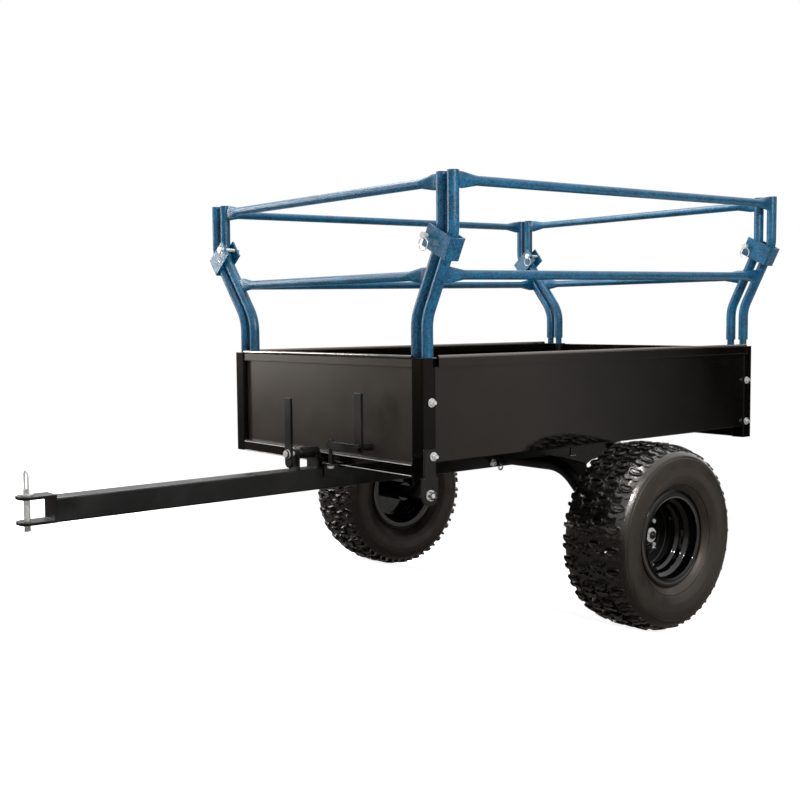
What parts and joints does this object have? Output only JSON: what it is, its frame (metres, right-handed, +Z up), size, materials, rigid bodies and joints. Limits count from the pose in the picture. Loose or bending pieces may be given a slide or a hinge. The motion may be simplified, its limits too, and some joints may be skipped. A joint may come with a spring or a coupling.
{
  "type": "atv dump trailer",
  "caption": "Two-wheeled trailer whose open steel bed tips up at the back, with a stake rack, lift-out tailgate, arched axle and pin hitch, parked nose down.",
  "frame": {"origin": "on the floor, under the middle of the parked trailer's box", "axes": "+X forward to the hitch, +Y to the trailer's left, +Z up; the trailer stands nose down on its hitch pin and two wheels"},
  "size_m": [1.8924, 1.174, 1.1897],
  "materials": {
    "black_powder_coat": "gloss black powder coat",
    "blue_powder_coat": "fine textured blue powder coat",
    "zinc_plate": "zinc plate",
    "tyre_rubber": "black rubber"
  },
  "bodies": {
    "chassis": {"tongue_tube": "black_powder_coat", "hitch_clevis": "black_powder_coat", "hitch_pin": "zinc_plate", "axle_tube": "black_powder_coat", "axle_leg_left": "black_powder_coat", "axle_leg_right": "black_powder_coat", "subframe_arm_left": "black_powder_coat", "subframe_arm_right": "black_powder_coat", "turntable_plate": "black_powder_coat", "subframe_crossbar": "black_powder_coat", "king_bolt": "zinc_plate", "subframe_front_bar": "black_powder_coat", "hinge_bolts": "zinc_plate", "latch_bracket": "black_powder_coat", "latch_plunger": "zinc_plate", "latch_spring": "zinc_plate", "latch_lever": "black_powder_coat", "bed_rest": "black_powder_coat"},
    "wheel_left": {"tyre_left": "tyre_rubber", "rim_left": "black_powder_coat"},
    "wheel_right": {"tyre_right": "tyre_rubber", "rim_right": "black_powder_coat"},
    "bed": {"bed_floor": "black_powder_coat", "bed_side_left": "black_powder_coat", "bed_side_right": "black_powder_coat", "bed_front_panel": "black_powder_coat", "bed_sills": "black_powder_coat", "bed_rails": "black_powder_coat", "bed_crossmembers": "black_powder_coat", "hinge_brackets": "black_powder_coat", "corner_post_front_left": "black_powder_coat", "corner_post_front_right": "black_powder_coat", "corner_post_rear_left": "black_powder_coat", "corner_post_rear_right": "black_powder_coat", "stake_pockets": "black_powder_coat", "rack_left": "blue_powder_coat", "rack_right": "blue_powder_coat", "rack_front": "blue_powder_coat", "rack_rear": "blue_powder_coat", "rack_clip_front_left": "blue_powder_coat", "rack_clip_front_right": "blue_powder_coat", "rack_clip_rear_left": "blue_powder_coat", "rack_clip_rear_right": "blue_powder_coat", "swivel_lever": "black_powder_coat", "corner_hanger": "black_powder_coat", "post_bolts": "zinc_plate"},
    "tailgate": {"tailgate": "black_powder_coat"}
  },
  "joints": [
    {"name": "wheel_left_spin", "type": "hinge", "parent": "chassis", "child": "wheel_left", "pos_m": [-0.39935, 0.4945, 0.224], "axis": [0, 1, 0], "continuous": true},
    {"name": "wheel_right_spin", "type": "hinge", "parent": "chassis", "child": "wheel_right", "pos_m": [-0.39935, -0.4945, 0.224], "axis": [0, 1, 0], "continuous": true},
    {"name": "bed_tilt", "type": "hinge", "parent": "chassis", "child": "bed", "pos_m": [-0.5928, 0, 0.45289], "axis": [0, -1, 0], "range_deg": [0, 78]},
    {"name": "tailgate_lift", "type": "slide", "parent": "bed", "child": "tailgate", "axis": [0.247, 0, 0.969], "range_m": [0, 0.21]}
  ]
}
